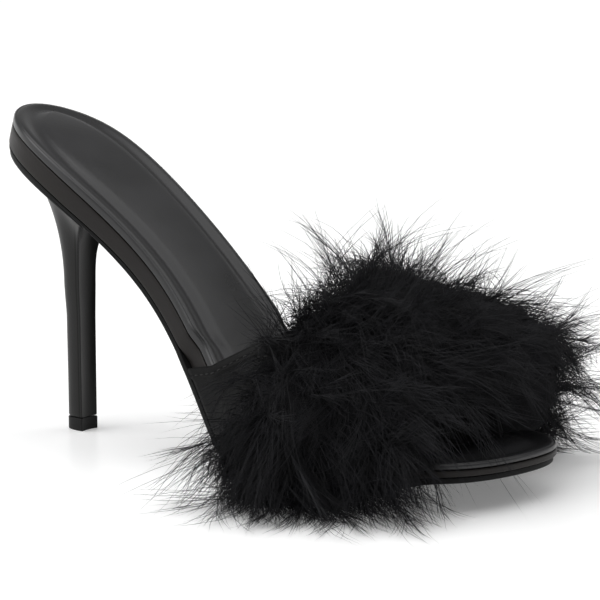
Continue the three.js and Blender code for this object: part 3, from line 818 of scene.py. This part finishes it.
def plumes(rng, count, aRange, sizes):
    a, root, way = scatter(rng, count, aRange, plume["depth"], plume["lift"])
    way = unit(way + rng.normal(size=way.shape) * plume["lean"])
    hang = downward(count) * (plume["hang"] + downRead["droop"](a))[:, None]
    bend = rng.normal(size=way.shape) * plume["bend"] + hang
    size = rng.uniform(*sizes, count)
    quill = strandPaths(rng, root, way, size, bend, plume["sway"], plume["quillRings"])
    flat = unit(np.cross(way, rng.normal(size=way.shape)))
    barbs = plume["barbs"]
    at = np.linspace(*plume["barbSpan"], barbs)
    place = at * plume["quillRings"]
    low = np.floor(place).astype(int)
    start = mix(quill[:, low], quill[:, low + 1], (place - low)[None, :, None])
    tangent = unit(quill[:, low + 1] - quill[:, low])
    hand = np.where(np.arange(barbs) % 2, 1, -1)[None, :, None]
    lean = rng.uniform(*plume["barbLean"], (count, barbs, 1))
    stray = plume["barbStray"]
    barbWay = unit(tangent + flat[:, None] * hand * lean + rng.normal(size=tangent.shape) * stray)
    barbBend = tangent * plume["barbSweep"] + bend[:, None] * plume["barbFollow"]
    barbBend = barbBend + rng.normal(size=tangent.shape) * stray
    barbSize = size[:, None] * plume["barbLength"] * (1 - plume["barbShorter"] * at)
    barbSize = barbSize * rng.uniform(*plume["barbUneven"], (count, barbs))
    paths = strandPaths(rng, start.reshape(-1, 3), barbWay.reshape(-1, 3), barbSize.ravel(),
                        barbBend.reshape(-1, 3), plume["sway"], plume["barbRings"])
    kept = inReach(paths).reshape(count, barbs).all(1) & inReach(quill)
    hairs = paths[np.repeat(kept, barbs)]
    return joinMeshes([strandMesh(hairs, rng.uniform(*plume["barbRadius"], len(hairs))),
                       strandMesh(quill[kept][:, ::2], rng.uniform(*plume["quillRadius"], kept.sum()))])


# Several meshes as one
def joinMeshes(parts):
    points, faces, start = [], [], 0
    for p, f in parts:
        points.append(p)
        faces.append(f + start)
        start += len(p)
    return np.concatenate(points), np.concatenate(faces)


# The tufts in the order that they are drawn: maker, number, strands in each, where they root over
# the foot (aRange) and from back to front (kRange), lengths in millimetres, and how they lie
outer, inner = (0.03, 0.5), (0.5, 0.97)
coat = {"each": 14, "sizes": (10, 20), "rings": 5, "depth": (0.75, 0.98), "lift": 0.4}
tall = {"rings": 7, "depth": (0.7, 1.0), "lift": 1.0}
tufts = {
    "fluff_outer": (fluff, {"count": 4500, "aRange": outer}),
    "fluff_inner": (fluff, {"count": 4500, "aRange": inner}),
    "coat_outer": (locks, {**coat, "clumps": 400, "aRange": outer}),
    "coat_inner": (locks, {**coat, "clumps": 420, "aRange": inner}),
    "plumes_outer": (plumes, {"count": 120, "aRange": outer, "sizes": (15, 28)}),
    "plumes_inner": (plumes, {"count": 130, "aRange": inner, "sizes": (15, 28)}),
    "shoulder": (locks, {"clumps": 150, "each": 10, "aRange": (0.55, 0.97), "kRange": (0.45, 1),
                         "sizes": (12, 24), "rings": 6, "depth": (0.6, 1.0), "lift": 0.9, "loose": 1.3}),
    "crest": (locks, {**tall, "clumps": 56, "each": 9, "aRange": (0.4, 0.66), "kRange": (0.2, 0.85),
                      "sizes": (21, 34), "loose": 0.9}),
    "nape": (locks, {"clumps": 80, "each": 10, "aRange": (0.28, 0.6), "kRange": (0, 0.35),
                     "sizes": (12, 22), "rings": 5, "depth": (0.7, 1.0), "lift": 0.9}),
    "side": (locks, {"clumps": 70, "each": 8, "aRange": (0.03, 0.22), "kRange": (0, 0.6), "bare": 0,
                     "sizes": (16, 30), "rings": 6, "depth": (0.2, 0.9), "lift": 0.9, "loose": 1.2}),
    "wisps": (locks, {"clumps": 340, "each": 6, "aRange": (0.03, 0.97), "sizes": (15, 30), "rings": 7,
                      "depth": (0.5, 1.0), "lift": 0.8}),
    "hem_outer": (hem, {"count": 500, "aRange": (0.03, 0.07)}),
    "hem_inner": (hem, {"count": 1300, "aRange": (0.92, 0.97)}),
    "throat": (locks, {**tall, "clumps": 70, "each": 9, "aRange": (0.4, 0.8), "kRange": (0, 0.22),
                       "sizes": (14, 25), "rings": 6, "loose": 0.8, "back": 0.9}),
}


def makeDown():
    rng = np.random.default_rng(down["seed"])
    pieces = []
    for name, (make, settings) in tufts.items():
        points, faces = make(rng, **settings)
        pieces.append(makePiece("down_" + name, points, faces, "down", join=False))
        print("down", name, len(faces), "triangles")
    return pieces


outsolePiece = makeOutsole()
wrapPiece = makeWrap()
sockPiece = makeSock()
heelPiece = makeHeel()
tipPiece = makeTip()
print("sole and heel made")
vampPiece = makeVamp()
stitchPiece = makeStitches()
print("vamp made")
corePiece = makeCore()
downPieces = makeDown()
print("down made")


# A colour as Blender takes it, from its sRGB hex value
def linear(code):
    parts = [int(code[i:i + 2], 16) / 255 for i in (0, 2, 4)]
    return [p / 12.92 if p <= 0.04045 else ((p + 0.055) / 1.055) ** 2.4 for p in parts] + [1]


# Texture scale whose features are this many millimetres wide
def perMetre(size):
    return 1 / (size * mm)


def newMaterial(name, look):
    material = bpy.data.materials.new(name)
    material.use_nodes = True
    shader = material.node_tree.nodes["Principled BSDF"]
    for socket, key in (("Roughness", "roughness"), ("IOR", "ior"), ("Specular IOR Level", "gloss")):
        shader.inputs[socket].default_value = look[key]
    return material, shader


# Adds a node with its values, links in, colour stops, links out (feeds) and settings
def addNode(owner, kind, values=None, links=None, stops=(), feeds=None, **settings):
    node = owner.node_tree.nodes.new(kind)
    for key, value in settings.items():
        setattr(node, key, value)
    for key, value in (values or {}).items():
        node.inputs[key].default_value = value
    for key, socket in (links or {}).items():
        owner.node_tree.links.new(socket, node.inputs[key])
    for k, (place, colour) in enumerate(stops):
        node.color_ramp.elements[k].position = place
        node.color_ramp.elements[k].color = linear(colour)
    for key, socket in (feeds or {}).items():
        owner.node_tree.links.new(node.outputs[key], socket)
    return node


# What surfaces of a kind share: cloud is the slow shading's width, detail and roughness, blend is
# where one shade goes over to the other, swing is how far roughness follows, fine is the width,
# detail and twist of the relief's noise. Widths and the relief's height are in millimetres
leather = {"ior": 1.5, "cloud": (26, 4, 0.6), "blend": (0.3, 0.72), "swing": (-0.05, 0.07),
           "height": 0.08}
rubber = {"ior": 1.52, "gloss": 0.14, "cloud": (18, 6, 0.7), "blend": (0.35, 0.75),
          "fine": (0.45, 2, 0), "strength": 0.35, "height": 0.1}
marabou = {"ior": 1.55, "gloss": 0.2, "cloud": (6.2, 5, 0.65), "blend": (0.35, 0.72)}


# Leather's grain and the thread's twist are cells with finer noise over them. Real grain is about
# half a millimetre wide, and is drawn up to twice as wide so that it shows
def grain(width, finer=1.7):
    return {"cells": width, "fine": (width / finer, 3, 0)}


looks = {
    # Rubber sheet, calendered and cut: dead black and dull, so that the sole's edge is a quiet line
    "outsole rubber": {**rubber, "shades": ("060606", "0d0d0d"), "roughness": 0.6},
    # Bonded leather pressed round the board's edge: a brownish black band with a low sheen
    "wrap leather": {**leather, **grain(1.1), "shades": ("151211", "1b1816"), "roughness": 0.45,
                     "gloss": 0.22, "strength": 0.25},
    # Smooth lining leather glued over thin foam: the palest of the blacks, with a broad soft sheen
    "sock leather": {**leather, **grain(0.9), "shades": ("151516", "1e1e20"), "roughness": 0.3,
                     "gloss": 0.5, "strength": 0.22},
    # Coated leather drawn tight over the heel: darker, with one long highlight down the stem
    "heel leather": {**leather, **grain(0.77), "shades": ("080807", "0e0e0d"), "roughness": 0.36,
                     "gloss": 0.2, "strength": 0.16},
    # Cast polyurethane: hard, and a shade paler and smoother than the rubber
    "top piece polyurethane": {**rubber, "shades": ("101010", "161616"), "roughness": 0.5},
    # Folded and stitched upper leather with a dull coat: it stays in the down's shade
    "vamp leather": {**leather, **grain(1.1), "shades": ("060606", "0b0b0b"), "roughness": 0.5,
                     "gloss": 0.1, "strength": 0.3},
    # Twisted and waxed thread: a little paler than the vamp, so that the stitches can be counted
    "waxed thread": {**leather, **grain(0.38), "shades": ("161616", "262626"), "roughness": 0.55,
                     "gloss": 0.3, "strength": 0.5},
    # Dyed underdown seen between the tufts: matt and cool, and darker than the barbs with painted shade of
    # its depth, broken up as tangled fluff
    "down core": {**marabou, "fine": (1.1, 4, 1.5), "shades": ("0e0e10", "161619"), "roughness": 0.9,
                  "strength": 1, "height": 0.6},
    # Dyed feather barbs: near black with a cool cast, paler and drier in patches. Each strand is
    # modelled, so there is no relief
    "down fibre": {**marabou, "shades": ("0f0f11", "1e1e22"), "roughness": 0.65},
}


# A material from its look: clouds blend the two shades and swing the roughness, and the relief
# is the cells and the fine noise added up
def paint(name, *pieces):
    look = looks[name]
    material, shader = newMaterial(name, look)
    place = {"Vector": addNode(material, "ShaderNodeTexCoord").outputs["Object"]}
    width, detail, blur = look["cloud"]
    clouds = addNode(material, "ShaderNodeTexNoise",
                     {"Scale": perMetre(width), "Detail": detail, "Roughness": blur}, place)
    cloud = clouds.outputs["Fac"]
    addNode(material, "ShaderNodeValToRGB", links={"Fac": cloud},
            stops=zip(look["blend"], look["shades"]), feeds={"Color": shader.inputs["Base Color"]})
    if "swing" in look:
        smooth, rough = [look["roughness"] + k for k in look["swing"]]
        addNode(material, "ShaderNodeMapRange",
                {"From Min": 0.3, "From Max": 0.7, "To Min": smooth, "To Max": rough},
                {"Value": cloud}, feeds={"Result": shader.inputs["Roughness"]})
    if "fine" in look:
        width, detail, twist = look["fine"]
        fine = addNode(material, "ShaderNodeTexNoise",
                       {"Scale": perMetre(width), "Detail": detail, "Distortion": twist}, place)
        relief = fine.outputs["Fac"]
        if "cells" in look:
            cells = addNode(material, "ShaderNodeTexVoronoi", {"Scale": perMetre(look["cells"])}, place,
                            feature="F1")
            both = addNode(material, "ShaderNodeMath", operation="ADD",
                           links={0: cells.outputs["Distance"], 1: relief})
            relief = both.outputs["Value"]
        addNode(material, "ShaderNodeBump",
                {"Strength": look["strength"], "Distance": look["height"] * mm},
                {"Height": relief}, feeds={"Normal": shader.inputs["Normal"]})
    for piece in pieces:
        piece.data.materials.append(material)


paint("outsole rubber", outsolePiece)
paint("wrap leather", wrapPiece)
paint("sock leather", sockPiece)
paint("heel leather", heelPiece)
paint("top piece polyurethane", tipPiece)
paint("vamp leather", vampPiece)
paint("waxed thread", stitchPiece)
paint("down core", corePiece)
paint("down fibre", *downPieces)
print("materials made")

# Studio, in metres and degrees: a white table that glows a little, as if lit from beneath, a sky
# bright at the horizon and greyer overhead (how far up, how bright), and three soft lamps
studio = {
    "reach": 30, "table": {"roughness": 0.3, "ior": 1.45, "gloss": 0.12}, "white": "f6f6f6",
    "light": "ffffff", "glow": 0.16, "horizon": (0.06, 1.08), "overhead": (0.4, 0.26),
}
suns = {
    "high light": {"way": (0.25, 0.35, -1), "power": 2.0, "angle": 70},
    "back light": {"way": (-0.3, -0.4, -1), "power": 0.6, "angle": 50},
}
sideLamp = {"place": (-0.75, -0.7, 0.7), "aim": (-0.05, 0, 0.05), "size": (0.9, 0.7), "power": 3}


def makeTable():
    mesh = bpy.data.meshes.new("floor")
    reach = studio["reach"]
    corners = [(-reach, -reach, 0), (reach, -reach, 0), (reach, reach, 0), (-reach, reach, 0)]
    mesh.from_pydata(corners, [], [(0, 1, 2, 3)])
    floor = bpy.data.objects.new("floor", mesh)
    bpy.context.scene.collection.objects.link(floor)
    material, shader = newMaterial("white table", studio["table"])
    shader.inputs["Base Color"].default_value = linear(studio["white"])
    shader.inputs["Emission Color"].default_value = linear(studio["light"])
    shader.inputs["Emission Strength"].default_value = studio["glow"]
    mesh.materials.append(material)


def makeSky():
    world = bpy.data.worlds.new("studio")
    world.use_nodes = True
    sky = world.node_tree.nodes["Background"]
    sky.inputs["Color"].default_value = linear(studio["light"])
    way = addNode(world, "ShaderNodeTexCoord").outputs["Generated"]
    up = addNode(world, "ShaderNodeSeparateXYZ", links={"Vector": way})
    (low, bright), (high, grey) = studio["horizon"], studio["overhead"]
    addNode(world, "ShaderNodeMapRange",
            {"From Min": low, "From Max": high, "To Min": bright, "To Max": grey},
            {"Value": up.outputs["Z"]}, feeds={"Result": sky.inputs["Strength"]})
    bpy.context.scene.world = world


def addLamp(name, kind, power, way):
    lamp = bpy.data.lights.new(name, kind)
    lamp.energy = power
    light = bpy.data.objects.new(name, lamp)
    bpy.context.scene.collection.objects.link(light)
    light.rotation_euler = way.to_track_quat("-Z", "Y").to_euler()
    return light


makeTable()
makeSky()
for name, sun in suns.items():
    addLamp(name, "SUN", sun["power"], Vector(sun["way"])).data.angle = math.radians(sun["angle"])
leftLight = addLamp("left light", "AREA", sideLamp["power"],
                    Vector(sideLamp["aim"]) - Vector(sideLamp["place"]))
leftLight.location = sideLamp["place"]
leftLight.data.shape = "RECTANGLE"
leftLight.data.size, leftLight.data.size_y = sideLamp["size"]
bpy.context.scene.view_settings.view_transform = "Standard"
print("stage and light made")
